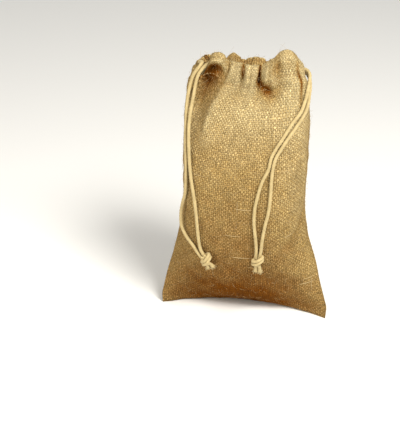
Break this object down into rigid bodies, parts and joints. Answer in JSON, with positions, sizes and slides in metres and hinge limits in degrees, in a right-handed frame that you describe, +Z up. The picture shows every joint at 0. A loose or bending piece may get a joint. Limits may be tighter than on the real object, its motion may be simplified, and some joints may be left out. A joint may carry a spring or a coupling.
{
  "type": "burlap drawstring sack",
  "caption": "Small standing sack of coarse jute cloth, folded at the bottom and sewn up the sides, its gathered mouth drawn shut by knotted cords that hang down the front.",
  "frame": {"origin": "on the surface the sack stands on, below the middle of the sack", "axes": "+Z up through the mouth, -Y out of the front with the hanging cords, +X to the right seen from the front"},
  "size_m": [0.1505, 0.0796, 0.2507],
  "materials": {
    "burlap": "coarse open jute weave, matt, with slubs and loose fibres",
    "cord": "soft twisted cream cotton cord, matt"
  },
  "bodies": {
    "root": {"sack": "burlap", "string_left_front": "cord", "string_left_back": "cord", "string_left_casing": "cord", "knot_left": "cord", "string_right_front": "cord", "string_right_back": "cord", "string_right_casing": "cord", "knot_right": "cord"}
  },
  "joints": []
}
